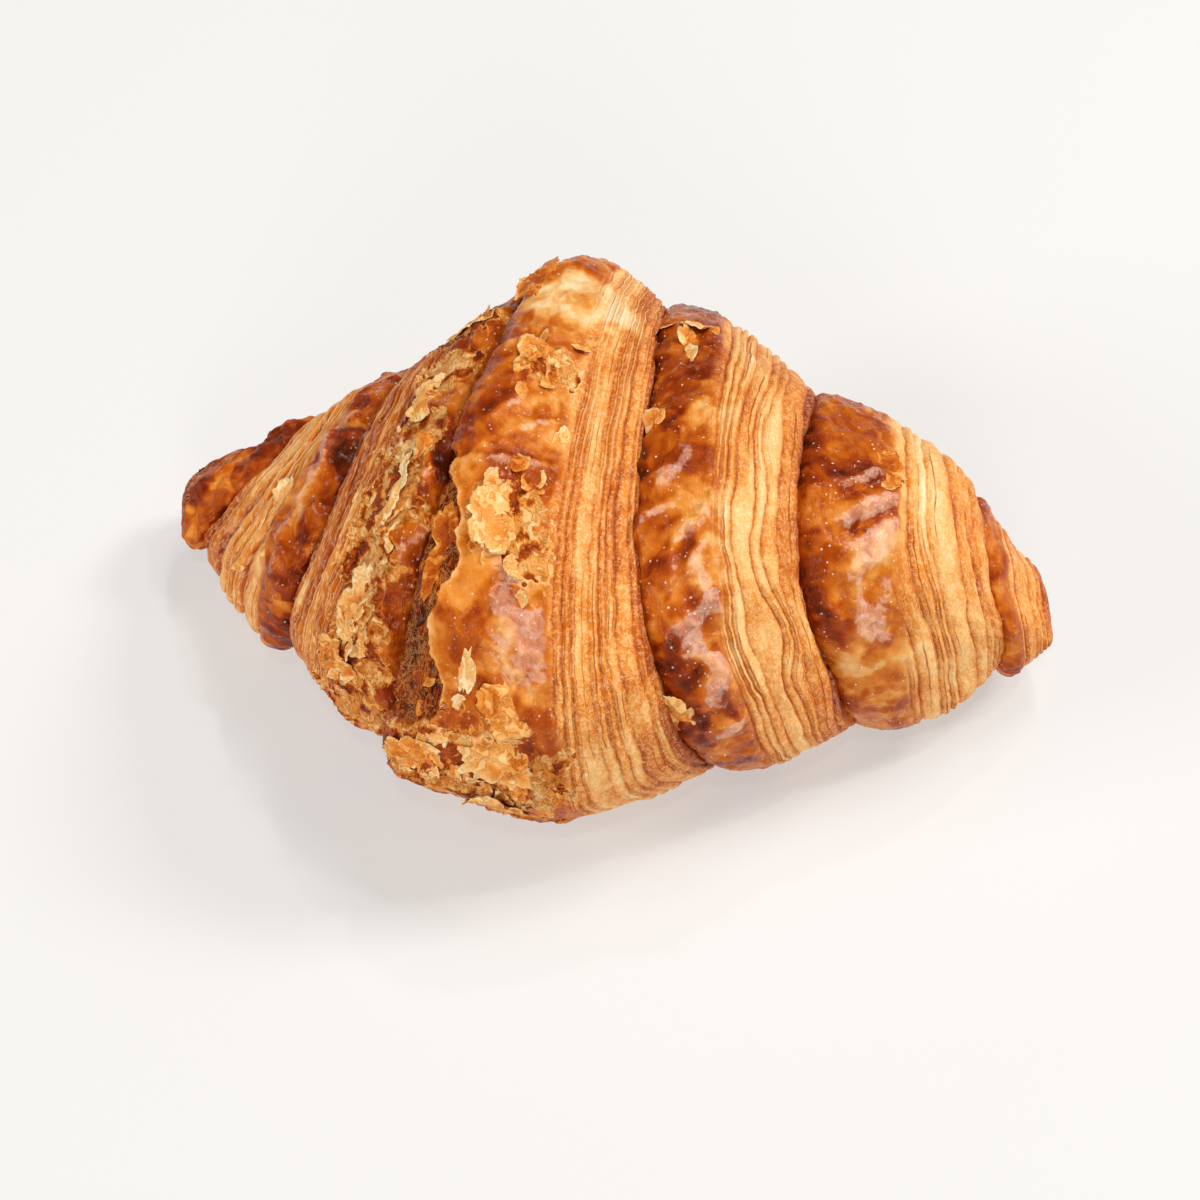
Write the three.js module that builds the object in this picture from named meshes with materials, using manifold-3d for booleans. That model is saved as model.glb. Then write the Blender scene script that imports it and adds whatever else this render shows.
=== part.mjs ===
// A butter croissant, one closed solid, in millimetres with +Z up.
// X runs from the left tip to the right tip, and the rounded side of the crescent faces -Y.
// The dough is rolled up in seven overlapping tiers. Each tier is a closed barrel that starts
// under the edge of the tier nearer the middle, and all of them are joined into one body, with
// the larger ragged flakes of the crust.

import * as THREE from "three";
import { mergeVertices } from "three/addons/utils/BufferGeometryUtils.js";
import Module from "manifold-3d";

// Driving dimensions of the whole
const LENGTH = 165;
const HALF = LENGTH / 2;
const BEND = 15.2; // how far the tips lie behind the middle of the axis
const TIP_LIFT = 8.3; // how far the tips rise off the table
const SQUARENESS = 2.25; // exponent of the cross-section, 2 is an ellipse
const SINK = 0.04; // share of the half height that the flat underside takes away

// Half widths and heights of the smooth envelope, at these shares of the half length
const STATIONS = [-1, -0.87, -0.66, -0.42, -0.18, 0.08, 0.32, 0.56, 0.8, 0.93, 1];
const HALF_WIDTHS = [3.5, 14, 26, 41, 52, 53, 41, 29, 19.6, 11, 8];
const HEIGHTS = [6, 19, 36, 52.6, 65.8, 61.5, 61.7, 53, 40, 21, 13];

// Creases between the tiers: position along X at the back, upper back, upper front, front,
// lower front and lower back of the section
const CREASES = {
  left3: [-62, -64, -66, -72, -73, -68],
  left2: [-44, -44, -41.5, -45.5, -47, -45],
  left1: [-19, -22, -19.5, -20.5, -22, -20],
  right1: [3, 6.5, 12, 20.5, 26, 14],
  right2: [40, 38.5, 36, 43.5, 48, 43],
  right3: [69, 69, 69.5, 72.5, 73, 71],
  leftTip: [-HALF],
  rightTip: [HALF],
};

// Shape of a tier from its inner crease, share 0, to its outer crease, share 1, as pairs of
// share and level: the glazed skin swells out of the crease, and the cut edge with its layers
// slopes down to the next tier
const SIDE_PROFILE = [[-0.32, -13], [-0.06, -6.5], [0.02, -2.6], [0.13, 0.6], [0.3, 1.8], [0.45, 1.8]];
const TIP_PROFILE = [[-0.45, -9], [-0.08, -4], [0.03, -1.2], [0.16, 0.8], [0.34, 1.4]];
// The middle tier ends on the left in a skin edge that overhangs the crease
const CENTRE_PROFILE = [[-0.015, -12], [0.04, -6.5], [-0.01, -1.6], [0, 1.6], [0.06, 3], [0.2, 3], [0.36, 2.4]];

// Each tier: its creases, the extra swell of its top and of its front, its cut layers, the level
// of its slope at the outer crease, and the number of faces around it
const SIDE_END = -1.2;
const TIERS = {
  centre: { inner: "left1", outer: "right1", profile: CENTRE_PROFILE, top: 2.6, front: 2.1, layers: 4, end: -1.6, faces: 52 },
  left1: { inner: "left1", outer: "left2", profile: SIDE_PROFILE, top: 3.2, front: -0.6, layers: 3, end: SIDE_END, faces: 46 },
  right1: { inner: "right1", outer: "right2", profile: SIDE_PROFILE, top: 3, front: 0.3, layers: 3, end: SIDE_END, faces: 46 },
  left2: { inner: "left2", outer: "left3", profile: SIDE_PROFILE, top: -0.8, front: 0.3, layers: 3, end: SIDE_END, faces: 38 },
  right2: { inner: "right2", outer: "right3", profile: SIDE_PROFILE, top: 1.8, front: -1.2, layers: 4, end: SIDE_END, faces: 40 },
  left3: { inner: "left3", outer: "leftTip", profile: TIP_PROFILE, top: -3.5, front: 2, layers: 2, end: 0, faces: 28 },
  right3: { inner: "right3", outer: "rightTip", profile: TIP_PROFILE, top: -0.6, front: -0.8, layers: 2, end: 0, faces: 28 },
};
const LAYER_RELIEF = 0.45; // half the step between two cut layers
const SLOPE_CURVE = 1.4; // how much steeper the slope gets towards the outer crease
const LIP_SHARES = [1.015, 0.97]; // the end face turns in behind the lip
const LIP_DROPS = [2, 7];

// Slow swelling that makes the tiers uneven
const SWELLS = [
  { height: 0.54, around: 3, along: 0.05, phase: 0.6 },
  { height: 0.42, around: 5, along: -0.11, phase: 2.1 },
  { height: 0.3, around: 8, along: 0.19, phase: 4.0 },
];

// Large ragged flakes of the crust: tier, share along it, angle in degrees from the back over
// the top, length around the section, width along it, turn in the surface and lift of the edge
const FLAKES = [
  { tier: "centre", share: 0.06, angle: 58, length: 17, width: 9, turn: 200, lift: 3.2 },
  { tier: "centre", share: 0.3, angle: 87, length: 12, width: 9, turn: 250, lift: 1.4 },
  { tier: "centre", share: 0.32, angle: 119, length: 15, width: 11, turn: 160, lift: 2.0 },
  { tier: "centre", share: 0.1, angle: 128, length: 20, width: 7, turn: 190, lift: 1.4 },
  { tier: "centre", share: 0.3, angle: 153, length: 8, width: 5, turn: 20, lift: 2.4 },
  { tier: "centre", share: 0.46, angle: 160, length: 9, width: 12, turn: 150, lift: 2.2 },
  { tier: "centre", share: 0.42, angle: 176, length: 15, width: 15, turn: 100, lift: 2.4 },
  { tier: "centre", share: 0.36, angle: 198, length: 14, width: 12, turn: 265, lift: 3.6 },
  { tier: "centre", share: 0.12, angle: 182, length: 14, width: 12, turn: 230, lift: 1.8 },
  { tier: "left1", share: 0.45, angle: 92, length: 13, width: 8, turn: 20, lift: 1.6 },
  { tier: "left1", share: 0.4, angle: 116, length: 18, width: 8, turn: 170, lift: 1.4 },
  { tier: "left1", share: 0.42, angle: 148, length: 17, width: 9, turn: 10, lift: 1.6 },
  { tier: "left1", share: 0.5, angle: 170, length: 13, width: 10, turn: 300, lift: 2.0 },
  { tier: "left1", share: 0.45, angle: 66, length: 14, width: 10, turn: 60, lift: 1.6 },
  { tier: "right1", share: 0.25, angle: 50, length: 8, width: 7, turn: 90, lift: 3.4 },
  { tier: "right1", share: 0.06, angle: 90, length: 7, width: 4, turn: 270, lift: 1.6 },
  { tier: "right1", share: 0.05, angle: 170, length: 12, width: 6, turn: 240, lift: 1.8 },
  { tier: "right2", share: 0.45, angle: 92, length: 11, width: 8, turn: 0, lift: 1.2 },
];
const FLAKE_THICKNESS = 1;
const FLAKE_POINTS = 12;
const FLAKE_RAGGED = 0.3;
const FLAKE_SEED = 7;

const wasm = await Module();
wasm.setup();

// Smooth curve through values at given places, with the slope of its neighbours at each
function along(places, values, at) {
  const last = places.length - 1;
  const clamped = Math.min(Math.max(at, places[0]), places[last]);
  let i = 0;
  while (i < last - 1 && clamped > places[i + 1]) i += 1;
  const slope = (k) => {
    const low = Math.max(k - 1, 0);
    const high = Math.min(k + 1, last);
    return (values[high] - values[low]) / (places[high] - places[low]);
  };
  const width = places[i + 1] - places[i];
  const t = (clamped - places[i]) / width;
  return hermite(values[i], values[i + 1], slope(i) * width, slope(i + 1) * width, t);
}

function hermite(from, to, start, end, t) {
  const rise = to - from;
  return from + t * (start + t * (3 * rise - 2 * start - end + t * (start + end - 2 * rise)));
}

// Smooth closed curve through values spread evenly around the section
function around(values, angle) {
  const count = values.length;
  const turn = (((angle / (2 * Math.PI)) % 1) + 1) % 1;
  const at = turn * count;
  const i = Math.floor(at);
  const value = (k) => values[(i + k + count) % count];
  return hermite(value(0), value(1), (value(1) - value(-1)) / 2, (value(2) - value(0)) / 2, at - i);
}

function swelling(s, angle) {
  let sum = 0;
  for (const wave of SWELLS) {
    sum += wave.height * Math.sin(wave.around * angle + wave.along * s + wave.phase);
  }
  return sum;
}

// Point on the section at s along the axis, at an angle from the back over the top, raised by
// some millimetres from the smooth envelope
function surface(s, angle, raise) {
  const share = s / HALF;
  const halfHeight = along(STATIONS, HEIGHTS, share) / 2;
  const width = Math.max(along(STATIONS, HALF_WIDTHS, share) + raise, 0.4);
  const height = Math.max(halfHeight + raise, 0.4);
  const slope = (2 * BEND * share) / HALF;
  const unit = Math.hypot(1, slope);
  const power = 2 / SQUARENESS;
  const cos = Math.sign(Math.cos(angle)) * Math.abs(Math.cos(angle)) ** power;
  const sin = Math.sign(Math.sin(angle)) * Math.abs(Math.sin(angle)) ** power;
  const side = width * cos;
  const level = halfHeight * (1 - SINK) + TIP_LIFT * Math.abs(share) ** 3;
  return new THREE.Vector3(
    s - (side * slope) / unit,
    BEND * share * share + side / unit,
    level + height * sin,
  );
}

// Rings of one tier: its profile, then the stepped layers down the slope, then the lip
function tierRings({ profile, layers, end }) {
  const rings = profile.map(([share, raise]) => ({ share, raise }));
  const [topShare, topRaise] = profile[profile.length - 1];
  const steps = 2 * layers + 1;
  for (let k = 1; k < steps; k += 1) {
    const t = k / steps;
    const relief = k % 2 === 1 ? -LAYER_RELIEF : LAYER_RELIEF;
    rings.push({
      share: topShare + (1 - topShare) * t,
      raise: topRaise + (end - topRaise) * t ** SLOPE_CURVE + relief,
    });
  }
  rings.push({ share: 1, raise: end });
  LIP_SHARES.forEach((share, i) => rings.push({ share, raise: end - LIP_DROPS[i] }));
  return rings;
}

// Point of a tier at a share of its way to the outer crease
function tierPoint(tier, share, angle, raise) {
  const from = around(CREASES[tier.inner], angle);
  const to = around(CREASES[tier.outer], angle);
  const s = Math.min(Math.max(from + (to - from) * share, -HALF), HALF);
  const top = tier.top * Math.max(Math.sin(angle), 0) ** 2;
  const front = tier.front * Math.max(-Math.cos(angle), 0) ** 2;
  return surface(s, angle, raise + top + front + swelling(s, angle));
}

// A geometry with its shared vertices merged and nothing but positions
function bare(geometry) {
  geometry.deleteAttribute("normal");
  geometry.deleteAttribute("uv");
  return mergeVertices(geometry, 1e-4);
}

function solid(geometry) {
  return new wasm.Manifold(new wasm.Mesh({
    numProp: 3,
    vertProperties: Float32Array.from(geometry.getAttribute("position").array),
    triVerts: Uint32Array.from(geometry.getIndex().array),
  }));
}

// Closed barrel over the rings of a tier, from left to right: a capped cylinder whose vertices
// are moved onto the rings, with the middle of each end in the middle of its ring
function barrel(tier) {
  const rings = tierRings(tier);
  if (around(CREASES[tier.outer], 0) < around(CREASES[tier.inner], 0)) rings.reverse();
  const shape = bare(new THREE.CylinderGeometry(1, 1, 1, tier.faces, rings.length - 1));
  const position = shape.getAttribute("position");
  for (let i = 0; i < position.count; i += 1) {
    const ring = rings[Math.round((0.5 - position.getY(i)) * (rings.length - 1))];
    const angle = Math.atan2(position.getZ(i), position.getX(i));
    const onAxis = Math.hypot(position.getX(i), position.getZ(i)) < 0.5;
    const point = tierPoint(tier, ring.share, angle, ring.raise);
    if (onAxis) point.add(tierPoint(tier, ring.share, angle + Math.PI, ring.raise)).multiplyScalar(0.5);
    position.setXYZ(i, point.x, point.y, point.z);
  }
  return solid(shape);
}

// Repeatable random numbers from 0 to 1
function randomFrom(seed) {
  let state = seed;
  return () => {
    state = (state * 1664525 + 1013904223) % 4294967296;
    return state / 4294967296;
  };
}

// Level of a tier's skin at a share of its way to the outer crease
function skinLevel(tier, share) {
  const rings = tierRings(tier).filter((ring) => ring.raise > -4);
  const next = rings.findIndex((ring) => ring.share >= share);
  const [a, b] = [rings[Math.max(next - 1, 0)], rings[next]];
  const t = b.share > a.share ? (share - a.share) / (b.share - a.share) : 0;
  return a.raise + (b.raise - a.raise) * t;
}

// Ragged plate that lies in the surface: one edge is sunk in the crust, and the edge across
// from it stands up. It is a disc, cylinder faces and all, laid over the tier.
function flake({ tier: name, share, angle, length, width, turn, lift }, random) {
  const tier = TIERS[name];
  const middle = (angle * Math.PI) / 180;
  const heading = (turn * Math.PI) / 180;
  const ragged = Array.from({ length: FLAKE_POINTS }, () => 1 - FLAKE_RAGGED * random());
  const home = tierPoint(tier, share, middle, 0);
  const perShare = home.distanceTo(tierPoint(tier, share + 0.01, middle, 0)) / 0.01;
  const perAngle = home.distanceTo(tierPoint(tier, share, middle + 0.01, 0)) / 0.01;
  const shape = bare(new THREE.CylinderGeometry(1, 1, 1, FLAKE_POINTS, 1));
  const position = shape.getAttribute("position");
  for (let i = 0; i < position.count; i += 1) {
    const x = position.getX(i);
    const z = position.getZ(i);
    const bearing = Math.atan2(z, x);
    const index = Math.round((bearing / (2 * Math.PI)) * FLAKE_POINTS + FLAKE_POINTS) % FLAKE_POINTS;
    const reach = Math.hypot(x, z) < 0.5 ? 0 : ragged[index];
    const out = 0.5 + 0.5 * reach * Math.cos(bearing - heading);
    const level = -0.6 + lift * out * out - (position.getY(i) < 0 ? FLAKE_THICKNESS : 0);
    const atShare = share + (reach * Math.cos(bearing) * width) / 2 / perShare;
    const atAngle = middle + (reach * Math.sin(bearing) * length) / 2 / perAngle;
    const point = tierPoint(tier, atShare, atAngle, skinLevel(tier, share) + level);
    position.setXYZ(i, point.x, point.y, point.z);
  }
  const plate = solid(shape);
  if (plate.volume() > 0) return plate;
  const index = shape.getIndex();
  for (let i = 0; i < index.count; i += 3) {
    const first = index.getX(i);
    index.setX(i, index.getX(i + 1));
    index.setX(i + 1, first);
  }
  return solid(shape);
}

// Join the tiers and the flakes, and cut the underside flat
const random = randomFrom(FLAKE_SEED);
const pieces = [...Object.values(TIERS).map(barrel), ...FLAKES.map((entry) => flake(entry, random))];
const joined = pieces.reduce((body, piece) => body.add(piece));
const FLOOR_DEPTH = 40;
const floorBox = new THREE.BoxGeometry(3 * LENGTH, 3 * LENGTH, FLOOR_DEPTH);
floorBox.translate(0, 0, -FLOOR_DEPTH / 2);
const cut = joined.subtract(solid(bare(floorBox)));

// Put the middle of the underside at the origin
const mesh = cut.getMesh();
const geometry = new THREE.BufferGeometry();
geometry.setAttribute("position", new THREE.BufferAttribute(Float32Array.from(mesh.vertProperties), 3));
geometry.setIndex(new THREE.BufferAttribute(Uint32Array.from(mesh.triVerts), 1));
geometry.computeBoundingBox();
const { min, max } = geometry.boundingBox;
geometry.translate(-(min.x + max.x) / 2, -(min.y + max.y) / 2, -min.z);

const crust = new THREE.MeshStandardMaterial({ color: 0xc98a45, roughness: 0.5, metalness: 0 });
const croissant = new THREE.Mesh(geometry, crust);
croissant.name = "croissant";

const group = new THREE.Group();
group.add(croissant);

export default group;
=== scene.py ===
"""A butter croissant: seven overlapping tiers of flaky dough with loose flakes of crust.

Shapes are worked out in millimetres in the construction frame of the solid, whose X runs from tip
to tip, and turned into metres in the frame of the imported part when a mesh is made. Angles go around
a section in degrees: 0 at the back, 90 on top, 180 in front and 270 underneath. A share runs from 0
at the inner crease of a tier to 1 at its outer crease.
"""

import math
from types import SimpleNamespace

import bpy
import numpy as np
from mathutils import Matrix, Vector


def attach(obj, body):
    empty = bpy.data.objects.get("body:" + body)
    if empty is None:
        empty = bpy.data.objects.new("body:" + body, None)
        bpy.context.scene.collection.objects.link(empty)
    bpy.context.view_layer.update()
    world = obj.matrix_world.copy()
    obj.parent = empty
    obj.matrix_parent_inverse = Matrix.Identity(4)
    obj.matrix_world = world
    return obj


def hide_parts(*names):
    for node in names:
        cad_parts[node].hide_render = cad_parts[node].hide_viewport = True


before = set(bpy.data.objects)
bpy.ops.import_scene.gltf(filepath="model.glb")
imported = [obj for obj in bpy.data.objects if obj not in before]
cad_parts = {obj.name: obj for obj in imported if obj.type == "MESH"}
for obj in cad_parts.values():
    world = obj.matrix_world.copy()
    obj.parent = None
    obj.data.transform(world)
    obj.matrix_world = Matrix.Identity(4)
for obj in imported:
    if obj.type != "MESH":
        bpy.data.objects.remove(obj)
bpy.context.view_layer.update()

MM = 0.001
NODE = "croissant"

# Envelope of the whole in millimetres, as in the solid but for the curl of the left tip
LENGTH = 165
HALF = LENGTH / 2
BEND = 15.2
TIP_LIFT = 8.3
LEFT_CURL = 3.8
CURL_START = 0.8
SQUARENESS = 2.25
SINK = 0.04
THINNEST = 0.4
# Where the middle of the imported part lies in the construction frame
MODEL_MIDDLE = (0.4, -1.8)
# Places along the axis as shares of half the length, with the half width and the height at each
STATIONS = (-1, -0.87, -0.66, -0.42, -0.18, 0.08, 0.32, 0.56, 0.8, 0.93, 1)
HALF_WIDTHS = (3.5, 14, 26, 41, 52, 53, 41, 29, 19.6, 11, 8)
HEIGHTS = (6, 19, 36, 52.6, 65.8, 61.5, 61.7, 53, 40, 21, 13)

# Creases between tiers: X at the back, upper back, upper front, front, lower front, lower back
CREASES = {
    "left3": (-62, -64, -66, -72, -73, -68),
    "left2": (-44, -44, -41.5, -45.5, -47, -45),
    "left1": (-19, -22, -19.5, -20.5, -22, -20),
    "right1": (3, 6.5, 12, 20.5, 26, 14),
    "right2": (40, 38.5, 36, 43.5, 48, 43),
    "right3": (69, 69, 69.5, 72.5, 73, 71),
    "left_tip": (-HALF, -HALF, -HALF),
    "right_tip": (HALF, HALF, HALF),
}

# Section of a tier as pairs of share and level in millimetres
SIDE_SECTION = (
    (-0.26, -12), (-0.06, -6.5), (0.02, -2.6), (0.13, 0.6), (0.3, 1.8), (0.45, 1.8),
    (0.62, 1.3), (0.8, 0.4), (0.93, -0.6), (0.99, -1.6), (0.995, -3.5), (0.97, -8),
)
RIGHT_SECTION = (
    (-0.26, -12), (-0.06, -6.0), (0.01, -2.0), (0.1, 0.2), (0.3, 1.5), (0.45, 1.7),
    (0.62, 1.3), (0.8, 0.5), (0.93, -0.5), (0.99, -1.4), (0.995, -3.5), (0.97, -8),
)
TIP_SECTION = (
    (-0.4, -9), (-0.08, -4), (0.03, -1.2), (0.16, 0.8), (0.34, 1.4), (0.6, 1.1),
    (0.85, 0.4), (0.96, -0.6), (1.0, -2.5),
)
CENTRE_SECTION = (
    (0.02, -12), (0.03, -6.5), (-0.005, -2.4), (-0.012, 0.2), (0.0, 1.8), (0.05, 2.9),
    (0.2, 3.0), (0.36, 2.4), (0.55, 1.7), (0.75, 0.7), (0.92, -0.6), (0.99, -1.8),
    (0.995, -3.6), (0.97, -8),
)

# Gentle swells of the surface: height, waves around, phase for each millimetre along, phase
SWELLS = ((0.54, 3, 0.05, 0.6), (0.42, 5, -0.11, 2.1), (0.3, 8, 0.19, 4.0))

# Noise: whole numbers that scramble a place, then how each finer octave differs from the last
HASH_STEPS = (374761393, 668265263, 1440662683, 362437)
HASH_MIX = (1274126177, 668265263)
WORD = 0xFFFFFFFF
FINER = 2.03
OCTAVE_SHIFT = 17.3
OCTAVE_SEED = 31
NOISE_SPREAD = 1.6
FAR_OFF = 9.0


# Curves and noise

def curve_through(places, values, at):
    """Smooth curve through values at given places."""
    places = np.asarray(places, float)
    values = np.asarray(values, float)
    last = len(places) - 1
    at = np.clip(at, places[0], places[last])
    i = np.clip(np.searchsorted(places, at) - 1, 0, last - 1)
    low = np.maximum(np.arange(last + 1) - 1, 0)
    high = np.minimum(np.arange(last + 1) + 1, last)
    slope = (values[high] - values[low]) / (places[high] - places[low])
    width = places[i + 1] - places[i]
    t = (at - places[i]) / width
    return hermite(values[i], values[i + 1], slope[i] * width, slope[i + 1] * width, t)


def hermite(a, b, start, end, t):
    """Value at t from a to b, with the given slopes at its two ends."""
    rise = b - a
    return a + t * (start + t * (3 * rise - 2 * start - end + t * (start + end - 2 * rise)))


def around(values, angle):
    """Smooth closed curve through values spread evenly around the section."""
    values = np.asarray(values, float)
    count = len(values)
    at = (angle / (2 * math.pi)) % 1 * count
    i = np.floor(at).astype(int)
    a, b = values[i % count], values[(i + 1) % count]
    before, after = values[(i - 1) % count], values[(i + 2) % count]
    return hermite(a, b, (b - before) / 2, (after - a) / 2, at - i)


def ramp(low, high, x):
    """Smooth rise from 0 at low to 1 at high, either of which may be the larger."""
    t = np.clip((x - low) / (high - low), 0, 1)
    return t * t * (3 - 2 * t)


def blend(a, b, amount):
    return a + (b - a) * amount


def hashed(ix, iy, iz, seed):
    """Number from 0 to 1 that looks drawn by chance but always is the same for a place and seed."""
    n = sum(value * step for value, step in zip((ix, iy, iz, seed), HASH_STEPS)) & WORD
    n = ((n ^ (n >> 13)) * HASH_MIX[0]) & WORD
    n = ((n ^ (n >> 15)) * HASH_MIX[1]) & WORD
    return (n ^ (n >> 16)) / WORD


def noise(p, seed):
    """Smooth noise from -1 to 1 at points p, with features about one unit wide."""
    base = np.floor(p).astype(np.int64)
    t = p - base
    t = t * t * t * (t * (t * 6 - 15) + 10)
    sides = (1 - t, t)
    total = 0
    for corner in np.ndindex(2, 2, 2):
        cell = [base[..., k] + far for k, far in enumerate(corner)]
        wx, wy, wz = (sides[far][..., k] for k, far in enumerate(corner))
        total = total + wx * wy * wz * hashed(*cell, seed)
    return total * 2 - 1


def layered_noise(p, seed, octaves=3, gain=0.5):
    """Noise with finer and weaker noise added to it, mostly from -1 to 1."""
    total = 0
    weight = 1.0
    full = 0
    for k in range(octaves):
        finer = p * FINER ** k + OCTAVE_SHIFT * k
        total = total + weight * noise(finer, seed + OCTAVE_SEED * k)
        full += weight
        weight *= gain
    return total / full * NOISE_SPREAD


def threads(p, seed, sharp=4.0):
    """Thin branching lines, 1 on the line and 0 away from it."""
    return np.clip(1 - sharp * np.abs(layered_noise(p, seed, 2)), 0, 1)


def bent(p, size, amount, seed):
    """Points pushed about by noise, which makes what is drawn from them ragged."""
    push = [layered_noise(p / size, seed + k, 2) for k in range(3)]
    return p + amount * np.stack(push, -1)


def cells(p, seed):
    """Distance to the nearest of some scattered points, and that point's number from 0 to 1."""
    base = np.floor(p).astype(np.int64)
    near = np.full(p.shape[:-1], FAR_OFF)
    number = np.zeros(p.shape[:-1])
    for step in np.ndindex(3, 3, 3):
        cell = [base[..., k] + step[k] - 1 for k in range(3)]
        away = [cell[k] + hashed(*cell, seed + k) - p[..., k] for k in range(3)]
        distance = np.sqrt(sum(part ** 2 for part in away))
        closer = distance < near
        number = np.where(closer, hashed(*cell, seed + 3), number)
        near = np.where(closer, distance, near)
    return near, number


# The envelope

def swelling(s, angle):
    return sum(h * np.sin(k * angle + q * s + p) for h, k, q, p in SWELLS)


def surface(s, angle, level):
    """Point at s along the axis, at an angle from the back over the top, in millimetres."""
    share = s / HALF
    half_height = curve_through(STATIONS, HEIGHTS, share) / 2
    width = np.maximum(curve_through(STATIONS, HALF_WIDTHS, share) + level, THINNEST)
    height = np.maximum(half_height + level, THINNEST)
    slope = 2 * BEND * share / HALF
    unit = np.hypot(1, slope)
    power = 2 / SQUARENESS
    cos, sin = (np.sign(part) * np.abs(part) ** power for part in (np.cos(angle), np.sin(angle)))
    side = width * cos
    curl = np.clip((-share - CURL_START) / (1 - CURL_START), 0, 1)
    rise = half_height * (1 - SINK) + TIP_LIFT * np.abs(share) ** 3 + LEFT_CURL * curl ** 2
    x = s - side * slope / unit
    y = BEND * share * share + side / unit
    return np.stack([x, y, rise + height * sin], -1)


def unit_vectors(v):
    return v / np.maximum(np.linalg.norm(v, axis=-1, keepdims=True), 1e-9)


# Columns of a tier stand closer together on the side that faces up and forward, in degrees
FINE_SIDE = (35, 60, 215, 245)
FINE_GAIN = 1.6
# Samples with which a turn and a section are measured, and a small step of an angle or a share
TURN_SAMPLES = 3601
SECTION_SAMPLES = 4000
NUDGE = 0.01


def column_angles(count):
    """Angles of the columns in radians."""
    fine = np.linspace(0, 360, TURN_SAMPLES)
    rise, full, fall, end = FINE_SIDE
    density = 1 + FINE_GAIN * ramp(rise, full, fine) * (1 - ramp(fall, end, fine))
    total = np.concatenate([[0], np.cumsum((density[1:] + density[:-1]) / 2)])
    at = np.linspace(0, total[-1], count, endpoint=False)
    return np.radians(np.interp(at, total, fine))


class Tier:
    """One rolled tier: its grid of rings from the inner crease to behind the outer lip."""

    def __init__(self, name, inner, outer, section, top, front, faces, step, **look):
        self.name = name
        self.inner = CREASES[inner]
        self.outer = CREASES[outer]
        self.section = np.asarray(section, float)
        self.top = top
        self.front = front
        self.faces = faces
        self.step = step
        self.look = look

    def position(self, share, angle, level):
        inner = around(self.inner, angle)
        s = np.clip(inner + (around(self.outer, angle) - inner) * share, -HALF, HALF)
        extra = self.top * np.clip(np.sin(angle), 0, 1) ** 2
        extra = extra + self.front * np.clip(-np.cos(angle), 0, 1) ** 2
        return surface(s, angle, level + extra + swelling(s, angle))

    def width_at(self, angle):
        return np.abs(around(self.outer, angle) - around(self.inner, angle))

    def width(self):
        return float(np.mean(self.width_at(np.linspace(0, 2 * math.pi, 24, endpoint=False))))

    def rings(self):
        """Shares and levels at even steps along the tier's section."""
        knots = self.section * (self.width(), 1)
        run = np.concatenate([[0], np.cumsum(np.linalg.norm(np.diff(knots, axis=0), axis=1))])
        fine = np.linspace(0, run[-1], SECTION_SAMPLES)
        x = curve_through(run, knots[:, 0], fine)
        y = curve_through(run, knots[:, 1], fine)
        length = np.concatenate([[0], np.cumsum(np.hypot(np.diff(x), np.diff(y)))])
        at = np.linspace(0, length[-1], int(length[-1] / self.step) + 1)
        return np.interp(at, length, x) / self.width(), np.interp(at, length, y)

    def grid(self):
        """Points of the plain tier, their normals, and how far apart they stand."""
        share, level = self.rings()
        self.ring_share = share
        self.columns = column_angles(self.faces)
        self.share = np.broadcast_to(share[:, None], (len(share), self.faces))
        self.angle = np.broadcast_to(self.columns, self.share.shape)
        self.base = self.position(self.share, self.angle, level[:, None])
        ahead = np.roll(self.base, -1, axis=1) - np.roll(self.base, 1, axis=1)
        across = np.gradient(self.base, axis=0)
        normal = unit_vectors(np.cross(across, ahead))
        outward = self.base - self.base.mean(axis=1, keepdims=True)
        if np.sum(normal * outward) < 0:
            normal = -normal
        self.normal = normal
        self.pace = np.linalg.norm(across, axis=-1)
        self.reach = self.width_at(self.angle)
        middle = self.position(0.5, self.columns, 0.0)
        radius = np.linalg.norm(np.roll(middle, -1, 0) - middle, axis=-1).sum() / (2 * math.pi)
        turned = radius * np.cos(self.angle), radius * np.sin(self.angle)
        self.flow = np.stack([self.share * self.reach, *turned], -1)

    def offset(self, share, degrees, turn=0.0):
        """Millimetres across and around from one place, turned by an angle in degrees."""
        angle = math.radians(degrees)
        ends = self.position(share, np.array([angle - NUDGE, angle + NUDGE]), 0.0)
        radius = np.linalg.norm(ends[1] - ends[0]) / (2 * NUDGE)
        turned = (self.angle - angle + math.pi) % (2 * math.pi) - math.pi
        dx = (self.share - share) * self.reach
        dy = turned * radius
        cos, sin = math.cos(math.radians(turn)), math.sin(math.radians(turn))
        return dx * cos + dy * sin, dy * cos - dx * sin

    def spot(self, share, degrees, across, along, power=2):
        """Soft round patch, 1 in its middle; a higher power gives it a harder edge."""
        dx, dy = self.offset(share, degrees)
        return np.exp(-(dx / across) ** power - (dy / along) ** power)

    def sample(self, share, angle, values):
        """Values of the grid at any share and angle, from the four points around each."""
        first = int(np.argmin(self.ring_share))
        last = int(np.argmax(self.ring_share))
        row = np.interp(share, self.ring_share[first:last + 1], np.arange(first, last + 1))
        angles = np.append(self.columns, 2 * math.pi)
        column = np.interp(angle % (2 * math.pi), angles, np.arange(len(angles)))
        r = np.minimum(row.astype(int), last - 1)
        c = column.astype(int)
        u, v = (row - r)[..., None], (column - c)[..., None]
        a, b = c % self.faces, (c + 1) % self.faces
        low = values[r, a] * (1 - v) + values[r, b] * v
        high = values[r + 1, a] * (1 - v) + values[r + 1, b] * v
        return low * (1 - u) + high * u


# Relief and masks of a tier. Points and flow are divided by the size of a feature in millimetres:
# flow has the way across the tier first and then the two ways around it.

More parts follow.
